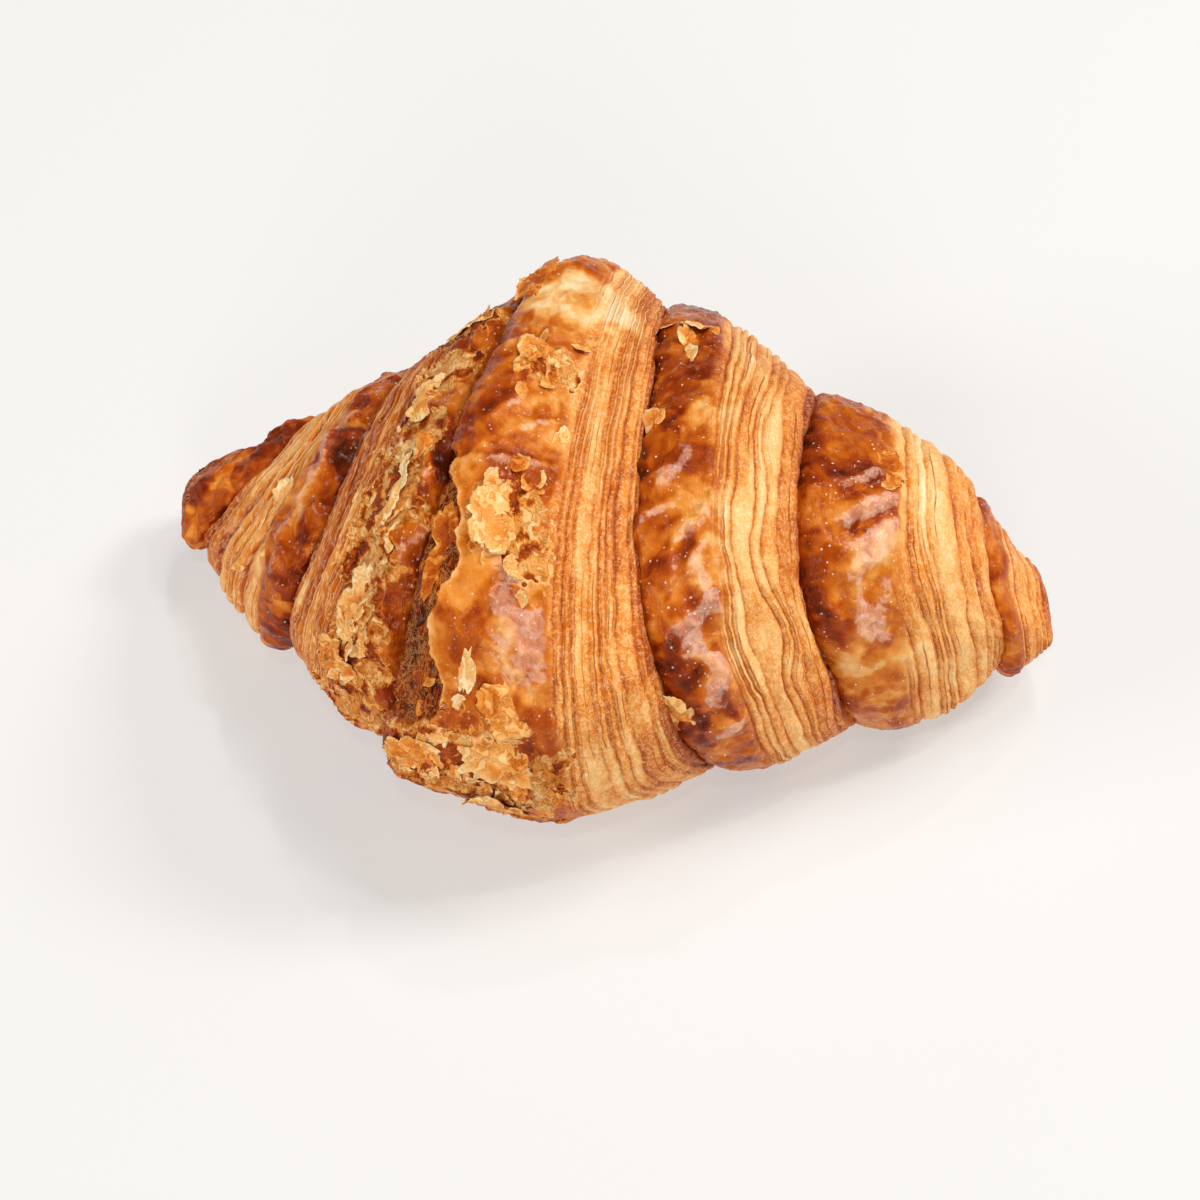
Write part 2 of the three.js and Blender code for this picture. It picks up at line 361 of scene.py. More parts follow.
# Way that a facet has to face to catch the most light, and how squarely it must face that way before
# the painted sheen shows
LIGHT_SIDE = unit_vectors(np.array([0.42, 0.1, 0.9]))
LIT_FROM = 0.82
# Shares between which layers are counted, and the closest and widest spacing of their edges
COUNTED = (-0.4, 1.1)
LEAST_PACE = 0.12
MOST_PACE = 3
# Tone of the skin below which it turns paler only slowly
SOFT_TONE = 0.4


def layer_count(tier):
    """Number of layers passed since the inner crease; a layer's edge lies at each whole number."""
    look = tier.look
    seed = look["seed"]
    first, last = look["pitch"]
    warp = 0
    for share, angle, across, along, pull in look.get("lenses", ()):
        dx, dy = tier.offset(share, angle)
        weight = pull * np.exp(-(dy / along) ** 2) * np.exp(-(dx / (3 * across)) ** 2)
        warp = warp - weight * across * np.tanh(dx / across)
    share = np.clip(tier.share + warp / tier.reach, *COUNTED)
    count = tier.width() / (last - first) * np.log((first + (last - first) * share) / first)
    count = count + 0.3 * noise(tier.flow / (18, 40, 40), seed)
    count = count + 0.12 * noise(tier.flow / (8, 9, 9), seed + 1)
    return count + 0.32 * np.sin(1.9 * count + seed) + 0.05 * np.sin(4.3 * count + 2)


def peel(tier, fields, place, seed):
    """Patch where the top skin has come off: lower, paler, with a raised ragged rim."""
    share, angle, across, along, turn, bias, tone, depth = place
    dx, dy = tier.offset(share, angle, turn)
    p = tier.base
    v = 1.1 * (1 - np.hypot(dx / across, dy / along)) + bias
    near = v > -1.0
    ragged = np.zeros(v.shape)
    ragged[near] = 0.5 * layered_noise(p[near] / 3.4, seed, 3)
    ragged[near] += 0.22 * layered_noise(p[near] / 0.9, seed + 5, 2)
    v = v + ragged
    v[~near] = -1
    inside = ramp(0, 0.14, v)
    rim = np.exp(-((v + 0.06) / 0.1) ** 2)
    flow = tier.flow
    streak = layered_noise(flow / (1.6, 7, 7), seed + 9, 2)
    island = ramp(0.14, 0.28, layered_noise(p / 2.9, seed + 13, 3))
    # Streaks are paler where they stand higher and darker in their hollows, painted shade; the brown
    # islands are the crust's own colour
    inner = tone - 0.12 * streak + 0.44 * island
    fields["relief"] += inside * (0.18 * streak + 0.3 * island - depth) + 0.3 * rim * (1 - inside)
    deeper = v > fields["bare"]
    fields["bare"] = np.where(deeper, v, fields["bare"])
    fields["bare_tone"] = np.where(deeper, inner, fields["bare_tone"])
    fields["lam"] = fields["lam"] * (1 - inside) + 0.35 * inside


def wrinkle(tier, fields, place, seed):
    """Raised fold of the skin with a shallow dip beside it, a painted highlight along its crest and
    painted shade in the dip.
    """
    share, angle, length, width, turn, height, painted_gleam = place
    dx, dy = tier.offset(share, angle, turn)
    dx = dx + 0.7 * width * layered_noise(tier.base / 6, seed, 2)
    ends = np.exp(-(2 * dy / length) ** 4) * (1 - fields["lam"])
    body = np.exp(-(dx / width) ** 2) * ends
    shade = np.exp(-(dx / width + 1.5) ** 2) * ends
    fields["relief"] += height * (body - 0.4 * shade)
    # Painted shade darkens the dip beside the fold, and a painted highlight lightens its crest
    fields["tone"] += 0.14 * shade - 0.1 * painted_gleam * body
    # Painted sheen along the crest, stronger toward one side of it
    lit = np.exp(-(1.3 * dx / width - 0.4) ** 2) * ends
    fields["painted_sheen"] = np.clip(fields["painted_sheen"] + painted_gleam * lit, 0, 1)


def cut_layers(tier, edge):
    """Relief, tone and lines where the edges of the layers show, past the edge of the skin."""
    look = tier.look
    seed = look["seed"]
    flow = tier.flow
    count = layer_count(tier)
    pace = np.abs(np.gradient(count, axis=0)) / np.maximum(tier.pace, 0.05)
    pace = np.clip(pace, LEAST_PACE, MOST_PACE)
    count = count + 0.26 * pace * layered_noise(flow / (3, 3.4, 3.4), seed + 3, 3)
    layer = np.floor(count)
    inside = count - layer
    to_line = np.minimum(inside, 1 - inside) / pace
    line_number = np.round(count).astype(np.int64)
    zero = line_number * 0
    depth = 0.3 + 0.7 * hashed(line_number, zero, zero, seed)
    fade = noise(flow / (2.2, 18, 18) + 3.3, seed + 2)
    breaks = 0.45 + 0.55 * ramp(-0.6, 0.0, layered_noise(flow / (2, 6, 6), seed + 4, 2))
    depth = depth * np.clip(0.75 + 0.6 * fade, 0.1, 1)
    valley = np.exp(-((to_line / 0.3) ** 2)) * depth
    pillow = np.clip(4 * inside * (1 - inside), 0, 1) ** 0.6
    band_place = np.stack([layer * 5.7, flow[..., 1] / 16, flow[..., 2] / 16], -1)
    band = 0.5 + 0.5 * layered_noise(band_place, seed + 5, 2)
    relief = look["relief"] * (0.8 * (pillow - 0.7) - 0.6 * valley + 0.35 * (band - 0.5))
    relief += 0.15 * layered_noise(flow / (1.5, 2.5, 2.5), seed + 8, 2)
    tone = look["lam_tone"] + 0.07 * layered_noise(flow / (6, 18, 18), seed + 6, 2)
    # Bands differ in tone at random; each puffed band is paler on its crest and darker toward its
    # edges, painted light and shade that follows the pillow relief
    tone += 0.22 * (band - 0.5) - 0.16 * (pillow - 0.7)
    tone += 0.06 * layered_noise(flow / (1.2, 4, 4), seed + 10, 2)
    tone += look["lip_tone"] * ramp(0.72, 1.0, tier.share)
    tone += 0.12 * ramp(0.14, 0.0, tier.share - edge)
    tone += look["groove"] * np.exp(-((to_line / 0.55) ** 2)) * depth
    for *place, pull in look.get("lenses", ()):
        tone -= 0.13 * pull * tier.spot(*place)
    ink = look["ink"] * np.clip(0.8 + 0.45 * fade, 0, 1) * breaks
    hair = ramp(-0.25, 0.25, noise(flow / (4, 16, 16) + 8.1, seed + 9)) * breaks
    return relief, tone, ink, hair, count, pace


def baked_skin(tier):
    """Relief, tone and painted sheen of the smooth glazed skin, with hills, folds and blisters."""
    look = tier.look
    seed = look["seed"]
    p = tier.base
    loose = bent(p, 9, 2.6, seed + 50)
    hill = layered_noise(loose / (6.0, 7.5, 6.0), seed + 20, 3, 0.42)
    crest = threads(bent(p, 4, 1.4, seed + 60) / 9.0, seed + 40, 2.6) ** 1.5 * look["folds"]
    ripple = threads(bent(p, 3, 1.0, seed + 64) / 4.2, seed + 44, 2.2)
    near, number = cells(p / 3.4, seed + 22)
    blister = np.clip(1 - (near / (0.16 + 0.22 * number)) ** 2, 0, 1) * (number > 0.5)
    relief = look["hills"] * (hill + 0.35 * ripple) + 0.55 * crest + 0.3 * blister
    relief += 0.15 * layered_noise(p / 1.7, seed + 26, 2) + look["skin_step"]
    hollow = ramp(0.1, 0.35, layered_noise(loose / (5, 8, 5), seed + 46, 3))
    tone = look["skin_tone"] + look["mottle"] * (1.1 * ramp(-0.3, 0.3, hill) - 0.35 - hollow)
    tone -= 0.14 * crest + 0.1 * blister + 0.08 * ripple
    tone = np.maximum(tone, SOFT_TONE + 0.3 * (tone - SOFT_TONE))
    tone += 0.07 * layered_noise(p / 2.0, seed + 7, 3)
    # Painted sheen: a highlight painted into the colour where the skin faces the light side, and on
    # hills, crests and ripples
    facing = tier.normal @ LIGHT_SIDE
    lit = hill + 0.5 * crest + 0.3 * ripple + 1.6 * (facing - LIT_FROM)
    return relief, tone, ramp(0.0, 1.1, lit) * look["painted_sheen"]


def tier_fields(tier):
    """Relief in millimetres and the masks that colour the tier."""
    look = tier.look
    seed = look["seed"]
    p = tier.base
    finger = layered_noise(tier.flow / (3, 10, 10), seed + 11, 3)
    edge = around(look["edge"], tier.angle) + look["finger"] * finger
    lam = ramp(-look["blend"], look["blend"], tier.share - edge)
    lam_relief, lam_tone, ink, hair, count, pace = cut_layers(tier, edge)
    skin_relief, skin_tone, painted_sheen = baked_skin(tier)
    fields = {
        "relief": blend(skin_relief, lam_relief, lam),
        "tone": blend(skin_tone, lam_tone, lam),
        "ink": lam * ink,
        "hair": lam * hair,
        "painted_sheen": painted_sheen * (1 - lam),
        "wet": (1 - lam) * look["wet"],
        "lam": lam,
        "raw": lam * 0,
        "bare": lam * 0 - 1,
        "bare_tone": lam * 0 + 0.25,
        "streaks": lam * 0 + look["streaks"],
        "count": count,
        "pace": pace,
    }
    fields["relief"] += 0.4 * layered_noise(p / 11, seed + 23, 2)
    ragged = 0.22 * layered_noise(p / 3, seed + 33, 2)
    # Darker and paler spots of tone; the paler spot under the centre tier's painted sheen spot is
    # painted highlight
    for *place, shift in look.get("stains_and_sheen", ()):
        fields["tone"] += shift * ramp(0.25, 0.75, tier.spot(*place) + ragged)
    for number, place in enumerate(look.get("wrinkles", ())):
        wrinkle(tier, fields, place, seed + 90 + number)
    # Spots of painted sheen: highlights painted onto the skin
    for *place, amount in look.get("painted_sheen_spots", ()):
        glow = amount * tier.spot(*place, power=4) * (1 - lam)
        fields["painted_sheen"] = np.clip(fields["painted_sheen"] + glow, 0, 1)
    for number, place in enumerate(look.get("peels", ())):
        peel(tier, fields, place, seed + 70 + 17 * number)
    # Darker near the inner and outer creases: painted shade in the creases
    crease = ramp(0.07, -0.02, tier.share) + ramp(0.96, 1.0, tier.share)
    fields["tone"] = fields["tone"] + look["painted_crease_shade"] * crease
    if "strip" in look:
        bare_strip(tier, fields, seed)
    return fields


def bare_strip(tier, fields, seed):
    """Strip along the crease where the skin is gone and brown fibres show, under a ledge."""
    p = tier.base
    angles, shares = zip(*tier.look["strip"])
    degrees = np.degrees(tier.angle)
    edge = curve_through(angles, shares, degrees)
    edge = edge + 0.03 * layered_noise(p / 4, seed + 80, 3)
    window = ramp(angles[0], angles[0] + 4, degrees) * ramp(angles[-1], angles[-1] - 4, degrees)
    gap = (edge - tier.share) * tier.reach
    inside = ramp(-0.12, 0.2, gap) * window
    rim = np.exp(-((gap + 0.3) / 0.4) ** 2) * window
    fibre = layered_noise(tier.flow / (1.3, 14, 14), seed + 84, 2)
    clump = layered_noise(p / 2.2, seed + 82, 3)
    fields["relief"] += inside * (0.3 * fibre + 0.25 * clump - 1.3) + 0.35 * rim
    inner = 0.76 - 0.1 * fibre - 0.08 * clump
    fields["tone"] = blend(fields["tone"], inner, inside) - 0.2 * rim
    for key in ("painted_sheen", "ink", "hair", "wet", "lam"):
        fields[key] = fields[key] * (1 - inside)
    fields["raw"] = np.maximum(fields["raw"], inside)
    fields["bare"] = blend(fields["bare"], -1, inside)


# Each tier's creases, section, extra height on top and in front, columns and spacing of its rings.
# Edge is the share at which the skin ends, at six places around. Rows start with the share and the
# angle of a place and then give
# stains and sheen: reach across and around, change of tone; the paler spot on the centre tier at 143
# degrees is painted highlight under its painted sheen spot
# wrinkles: length, width, turn, height, strength of the painted highlight on the crest
# painted sheen spots: reach across and around, amount of painted sheen
# lenses: reach across and around, how far the layers part
# peels: reach across and around, turn, how full, tone, depth
# The strip has pairs of an angle and the share at which it ends.
TIERS = [
    Tier(
        "tier-centre", "left1", "right1", CENTRE_SECTION, top=2.6, front=2.1, faces=536, step=0.3,
        edge=(0.5, 0.52, 0.6, 0.64, 0.55, 0.5), finger=0.035, blend=0.03, skin_step=0.15,
        pitch=(2.7, 1.4), relief=0.6, lam_tone=0.29, lip_tone=0.16, groove=0.03, ink=0.62,
        skin_tone=0.6, hills=0.5, mottle=0.15, folds=0.8, painted_sheen=0.3, wet=0.8,
        painted_crease_shade=0.2, streaks=0.25, seed=100,
        stains_and_sheen=(
            (0.42, 66, 14, 9, -0.31), (0.36, 87, 8, 3.5, 0.1), (0.42, 110, 7, 3, 0.06),
            (0.3, 116, 5, 3, 0.04), (0.52, 143, 5, 9, -0.1), (0.1, 97, 3, 12, 0.06),
            (0.5, 172, 3, 4, 0.12), (0.36, 140, 4, 8, 0.04), (0.44, 94, 5, 15, -0.15),
        ),
        wrinkles=(
            (0.33, 84, 17, 1.5, 85, 1.1, 0.4), (0.26, 108, 22, 1.1, 72, 0.9, 0.4),
            (0.42, 98, 9, 1.1, 60, 0.6, 0.6), (0.2, 97, 10, 1.2, 30, 0.6, 0.5),
        ),
        painted_sheen_spots=((0.5, 143, 5, 9, 0.7), (0.36, 124, 4, 4, 0.4), (0.42, 128, 3, 3, 0.4)),
        strip=(
            (104, -0.02), (112, 0.05), (118, 0.11), (126, 0.17), (132, 0.19), (140, 0.15),
            (148, 0.14), (156, 0.18), (163, 0.2), (170, 0.15), (176, 0.06),
        ),
        peels=(
            (0.37, 118, 5, 6, 30, 0.05, 0.22, 0.3), (0.32, 180, 13, 12, 0, 0.05, 0.24, 0.6),
            (0.24, 200, 12, 10, 0, 0.0, 0.28, 0.4), (0.44, 88, 5, 3, 0, -0.1, 0.22, 0.2),
            (0.5, 125, 4, 5, 0, -0.2, 0.24, 0.25), (0.3, 88, 3, 3, 0, 0.0, 0.24, 0.2),
        ),
    ),
    Tier(
        "tier-left-1", "left1", "left2", SIDE_SECTION, top=3.2, front=-0.6, faces=500, step=0.3,
        edge=(0.5, 0.5, 0.55, 0.55, 0.5, 0.5), finger=0.03, blend=0.03, skin_step=0.15,
        pitch=(1.7, 1.2), relief=0.75, lam_tone=0.45, lip_tone=0.12, groove=0.24, ink=1.0,
        skin_tone=0.74, hills=0.6, mottle=0.16, folds=0.6, painted_sheen=0.3, wet=0.8,
        painted_crease_shade=0.15, streaks=0.95, seed=200,
        stains_and_sheen=((0.15, 65, 6, 7, -0.12), (0.8, 100, 6, 14, 0.08), (0.7, 150, 8, 12, -0.08)),
        wrinkles=(
            (0.2, 108, 12, 1.4, 20, 0.8, 0.5), (0.14, 132, 12, 1.4, -10, 0.7, 0.4),
            (0.22, 90, 9, 1.4, 40, 0.8, 0.5), (0.2, 152, 9, 1.4, 30, 0.7, 0.4),
        ),
        peels=(
            (0.4, 68, 6, 5, 0, 0.1, 0.32, 0.3), (0.4, 84, 5, 5, 20, 0.1, 0.28, 0.4),
            (0.39, 102, 5.5, 6, -20, 0.15, 0.25, 0.45), (0.42, 118, 5.5, 7, -10, 0.15, 0.23, 0.45),
            (0.41, 134, 5.5, 6, 0, 0.1, 0.26, 0.4), (0.38, 150, 5, 7, 0, 0.05, 0.28, 0.4),
            (0.33, 168, 6, 7, 0, 0.1, 0.28, 0.4), (0.36, 188, 7, 7, 0, 0.0, 0.33, 0.4),
        ),
    ),
    Tier(
        "tier-right-1", "right1", "right2", RIGHT_SECTION, top=3, front=0.3, faces=500, step=0.3,
        edge=(0.45, 0.42, 0.48, 0.42, 0.42, 0.45), finger=0.05, blend=0.06, skin_step=0.1,
        pitch=(2.1, 1.9), relief=0.75, lam_tone=0.26, lip_tone=0.2, groove=0.04, ink=0.85,
        skin_tone=0.68, hills=0.65, mottle=0.19, folds=0.8, painted_sheen=0.3, wet=1.0,
        painted_crease_shade=0.16, streaks=0.4, seed=300,
        stains_and_sheen=(
            (0.95, 95, 3, 12, 0.1), (0.97, 122, 2.5, 9, 0.08), (0.47, 106, 1.6, 12, 0.1),
            (0.4, 92, 5, 7, -0.22), (0.42, 112, 4, 7, -0.22), (0.42, 126, 3, 5, -0.2),
            (0.4, 152, 3, 7, -0.12), (0.16, 92, 4, 6, 0.1), (0.2, 165, 6, 9, 0.08),
            (0.22, 74, 9, 8, 0.04), (0.16, 116, 3, 8, 0.08),
        ),
        wrinkles=(
            (0.18, 101, 8, 1.7, 40, 0.8, 0.9), (0.16, 110, 8, 1.5, 60, 0.8, 0.8),
            (0.31, 115, 9, 1.4, 40, 0.7, 0.7), (0.37, 124, 8, 1.4, 30, 0.7, 0.7),
            (0.4, 134, 12, 1.5, -20, 0.9, 0.9), (0.27, 137, 10, 1.6, 60, 0.9, 0.8),
            (0.3, 148, 11, 1.8, -30, 1.0, 1.0), (0.33, 160, 11, 1.8, 20, 1.0, 1.0),
            (0.32, 175, 9, 1.8, 50, 0.8, 0.8), (0.17, 127, 8, 1.5, 0, 0.7, 0.6),
            (0.14, 150, 9, 1.5, 15, 0.7, 0.5),
        ),
        lenses=(
            (0.82, 92, 2.6, 11, 0.75), (0.84, 120, 2.8, 10, 0.75), (0.64, 112, 1.8, 7, 0.6),
            (0.74, 148, 2.2, 7, 0.7), (0.6, 150, 1.7, 7, 0.6), (0.84, 168, 2.2, 7, 0.6),
        ),
    ),
    Tier(
        "tier-left-2", "left2", "left3", SIDE_SECTION, top=-0.8, front=0.3, faces=400, step=0.3,
        edge=(0.4, 0.42, 0.42, 0.24, 0.2, 0.3), finger=0.04, blend=0.05, skin_step=0.2,
        pitch=(3.3, 2.6), relief=1.5, lam_tone=0.34, lip_tone=0.12, groove=0.42, ink=1.0,
        skin_tone=0.72, hills=0.8, mottle=0.24, folds=0.7, painted_sheen=0.3, wet=0.8,
        painted_crease_shade=0.14, streaks=0.95, seed=400,
        stains_and_sheen=((0.34, 118, 4, 4, -0.16), (0.32, 150, 4, 4, -0.14), (0.4, 96, 4, 5, -0.14)),
        wrinkles=(
            (0.28, 98, 7, 1.7, 15, 1.0, 0.8), (0.3, 110, 6, 1.7, 0, 0.9, 0.9),
            (0.24, 122, 6, 1.7, 20, 0.9, 0.7), (0.26, 134, 6, 1.6, -10, 0.8, 0.7),
            (0.2, 147, 6, 1.5, 10, 0.8, 0.5),
        ),
    ),
    Tier(
        "tier-right-2", "right2", "right3", RIGHT_SECTION, top=1.8, front=-1.2, faces=420, step=0.3,
        edge=(0.5, 0.48, 0.5, 0.42, 0.4, 0.5), finger=0.05, blend=0.06, skin_step=0.1,
        pitch=(2.4, 2.2), relief=0.8, lam_tone=0.26, lip_tone=0.14, groove=0.06, ink=0.9,
        skin_tone=0.6, hills=0.4, mottle=0.16, folds=0.6, painted_sheen=0.2, wet=1.0,
        painted_crease_shade=0.16, streaks=0.4, seed=500,
        stains_and_sheen=(
            (0.06, 112, 3.5, 24, 0.14), (0.3, 172, 9, 8, -0.2), (0.25, 78, 9, 7, 0.08),
            (0.3, 92, 8, 5, 0.08), (0.42, 108, 4, 7, -0.12), (0.2, 112, 4, 5, -0.08),
        ),
        wrinkles=(
            (0.32, 97, 11, 1.3, 63, 1.0, 0.6), (0.36, 105, 14, 1.5, 58, 1.3, 1.0),
            (0.38, 114, 13, 1.6, 62, 1.3, 1.0), (0.36, 123, 13, 1.6, 58, 1.2, 1.0),
            (0.24, 142, 14, 1.4, 4, 1.0, 0.6), (0.14, 152, 14, 1.3, -8, 0.8, 0.4),
        ),
        painted_sheen_spots=((0.3, 150, 2.8, 5, 0.8), (0.42, 136, 2, 3, 0.6)),
        lenses=((0.72, 115, 2, 8, 0.5), (0.6, 140, 1.8, 8, 0.5), (0.82, 150, 1.8, 7, 0.5)),
    ),
    Tier(
        "tier-left-3", "left3", "left_tip", TIP_SECTION, top=-3.5, front=2, faces=260, step=0.28,
        edge=(0.7, 0.7, 0.75, 0.5, 0.5, 0.6), finger=0.06, blend=0.06, skin_step=0.1,
        pitch=(2.0, 1.6), relief=0.45, lam_tone=0.6, lip_tone=0.15, groove=0.1, ink=0.8,
        skin_tone=0.76, hills=1.3, mottle=0.2, folds=0.5, painted_sheen=0.1, wet=0.2,
        painted_crease_shade=0.1, streaks=0.95, seed=600,
    ),
    Tier(
        "tier-right-3", "right3", "right_tip", TIP_SECTION, top=-0.6, front=-0.8, faces=260, step=0.28,
        edge=(0.35, 0.35, 0.35, 0.35, 0.35, 0.35), finger=0.06, blend=0.06, skin_step=0.1,
        pitch=(2.0, 1.6), relief=0.45, lam_tone=0.32, lip_tone=0.34, groove=0.1, ink=0.8,
        skin_tone=0.66, hills=0.6, mottle=0.12, folds=0.6, painted_sheen=0.25, wet=0.8,
        painted_crease_shade=0.1, streaks=0.4, seed=700,
    ),
]


# Meshes

def to_frame(points):
    """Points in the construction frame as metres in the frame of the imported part."""
    return (points - np.array([*MODEL_MIDDLE, 0])) * MM


def make_mesh(name, points, faces, masks, material):
    """Mesh with smooth shading; faces is a list of arrays of faces with one number of corners."""
    mesh = bpy.data.meshes.new(name)
    mesh.vertices.add(len(points))
    mesh.vertices.foreach_set("co", np.ascontiguousarray(points, np.float32).ravel())
    flat = np.concatenate([part.ravel() for part in faces]).astype(np.int32)
    sizes = np.concatenate([np.full(len(part), part.shape[1]) for part in faces]).astype(np.int32)
    starts = np.concatenate([[0], np.cumsum(sizes)[:-1]]).astype(np.int32)
    mesh.loops.add(len(flat))
    mesh.loops.foreach_set("vertex_index", flat)
    mesh.polygons.add(len(sizes))
    mesh.polygons.foreach_set("loop_start", starts)
    mesh.update(calc_edges=True)
    mesh.validate()
    mesh.shade_smooth()
    for key, values in masks.items():
        kind, slot = ("FLOAT_VECTOR", "vector") if values.ndim == 2 else ("FLOAT", "value")
        attribute = mesh.attributes.new(key, kind, "POINT")
        attribute.data.foreach_set(slot, np.ascontiguousarray(values, np.float32).ravel())
    mesh.materials.append(material)
    piece = bpy.data.objects.new(name, mesh)
    bpy.context.collection.objects.link(piece)
    return piece


MASKS = (
    "tone", "ink", "hair", "painted_sheen", "wet", "lam", "raw", "bare", "bare_tone", "streaks", "count",
    "pace",
)


def tier_piece(tier, material):
    """Closed mesh of a tier, with its relief and masks, kept in the tier for the flakes on it."""
    tier.grid()
    fields = tier_fields(tier)
    points = tier.base + tier.normal * fields["relief"][..., None]
    points[..., 2] = np.maximum(points[..., 2], 0)
    tier.points = points
    rings, steps = tier.share.shape
    cloud = np.concatenate([points.reshape(-1, 3), points[:1].mean(1), points[-1:].mean(1)])
    index = np.arange(rings * steps).reshape(rings, steps)
    turn = np.roll(index, -1, axis=1)
    quads = np.stack([index[:-1], turn[:-1], turn[1:], index[1:]], -1).reshape(-1, 4)
    near_cap = np.stack([np.full(steps, rings * steps), turn[0], index[0]], -1)
    far_cap = np.stack([np.full(steps, rings * steps + 1), index[-1], turn[-1]], -1)
    faces = [quads, near_cap, far_cap]
    a, b, c = (cloud[quads[:, k]] for k in range(3))
    if np.einsum("ij,ij->i", a, np.cross(b, c)).sum() < 0:
        faces = [part[:, ::-1] for part in faces]
    masks = {key: np.append(fields[key].ravel(), [0.6, 0.6]) for key in MASKS}
    masks["flow"] = np.concatenate([tier.flow.reshape(-1, 3), np.zeros((2, 3))])
    return make_mesh(tier.name, to_frame(cloud), faces, masks, material)


# Flakes of crust: tier, share, angle, length around, width across, heading of the raised end,
# lift of that end, tone
FLAKES = (
    ("tier-centre", 0.06, 58, 17, 9, 200, 3.2, 0.42),
    ("tier-centre", 0.3, 87, 12, 9, 250, 1.4, 0.3),
    ("tier-centre", 0.32, 119, 15, 11, 160, 2.0, 0.27),
    ("tier-centre", 0.1, 128, 20, 7, 190, 1.4, 0.5),
    ("tier-centre", 0.3, 153, 8, 5, 20, 2.4, 0.1),
    ("tier-centre", 0.46, 160, 9, 12, 150, 2.2, 0.3),
    ("tier-centre", 0.42, 176, 15, 15, 100, 2.4, 0.2),
    ("tier-centre", 0.36, 198, 14, 12, 265, 3.6, 0.24),
    ("tier-centre", 0.12, 182, 14, 12, 230, 1.8, 0.3),
    ("tier-left-1", 0.45, 92, 13, 8, 20, 1.6, 0.12),
    ("tier-left-1", 0.4, 116, 18, 8, 170, 1.4, 0.02),
    ("tier-left-1", 0.42, 148, 17, 9, 10, 1.6, 0.14),
    ("tier-left-1", 0.5, 170, 13, 10, 300, 2.0, 0.26),
    ("tier-left-1", 0.45, 66, 14, 10, 60, 1.6, 0.36),
    ("tier-right-1", 0.25, 60, 8, 7, 90, 1.8, 0.12),
    ("tier-right-1", 0.06, 90, 7, 4, 270, 1.6, 0.22),
    ("tier-right-1", 0.05, 170, 12, 6, 240, 1.8, 0.22),
    ("tier-right-2", 0.45, 92, 11, 8, 0, 1.2, 0.42),
)

# Small flakes scattered by seeded draws: tier, shares, angles, how many
SCATTER = (
    ("tier-centre", (0.2, 0.55), (78, 100), 9),
    ("tier-centre", (0.12, 0.55), (100, 135), 10),
    ("tier-centre", (0.1, 0.5), (158, 205), 26),
    ("tier-left-1", (0.25, 0.55), (60, 190), 26),
    ("tier-right-1", (0.04, 0.4), (55, 80), 4),
    ("tier-left-2", (0.3, 0.6), (70, 170), 4),
)
SCATTER_WIDTH = (1.6, 5.0)
SCATTER_STRETCH = (0.8, 1.8)
SCATTER_LIFT = (0.6, 1.9)
SCATTER_TONE = (0.1, 0.42)
SCATTER_SEED = 11
MOST_SEEDS = 100000
# Rings and spokes of a large and of a small flake
LARGE_MESH = (8, 80)
SMALL_MESH = (5, 56)
FLAKE_CORNERS = 7
FLAKE_THICKNESS = 0.26
# How deep the low end of a flake lies in the crust, and the least reach of its rim
FLAKE_DEPTH = 0.2
LEAST_REACH = 0.35
# Height above the floor below which no flake comes
FLOOR_GAP = 0.05


def ragged_rim(circle, size, seed, draw):
    """Reach of a flake at each spoke: a polygon with uneven corners, and small teeth on it."""
    corner_count = int(FLAKE_CORNERS + 0.45 * size)
    corners = np.sort(draw.uniform(0, 2 * math.pi, corner_count))
    spokes = np.arange(len(circle)) * 2 * math.pi / len(circle)
    reach = np.interp(spokes, corners, draw.uniform(0.62, 1.08, corner_count), period=2 * math.pi)
    teeth = 0.07 * noise(circle * 0.225 * size, seed + 1)
    return np.maximum(reach + teeth + 0.05 * noise(circle * size * 0.7, seed + 2), LEAST_REACH)


def plate_faces(rings, sides):
    """Faces of a plate: rings around a middle point on top and underneath, with a wall between."""
    count = 1 + rings * sides
    ring = np.arange(1, count).reshape(rings, sides)
    after = np.roll(ring, -1, axis=1)
    quads = np.stack([ring[:-1], ring[1:], after[1:], after[:-1]], -1).reshape(-1, 4)
    fan = np.stack([np.zeros(sides, int), ring[0], after[0]], -1)
    wall = np.stack([ring[-1], ring[-1] + count, after[-1] + count, after[-1]], -1)
    quads = np.concatenate([quads, quads[:, ::-1] + count, wall])
    return quads, np.concatenate([fan, fan[:, ::-1] + count])


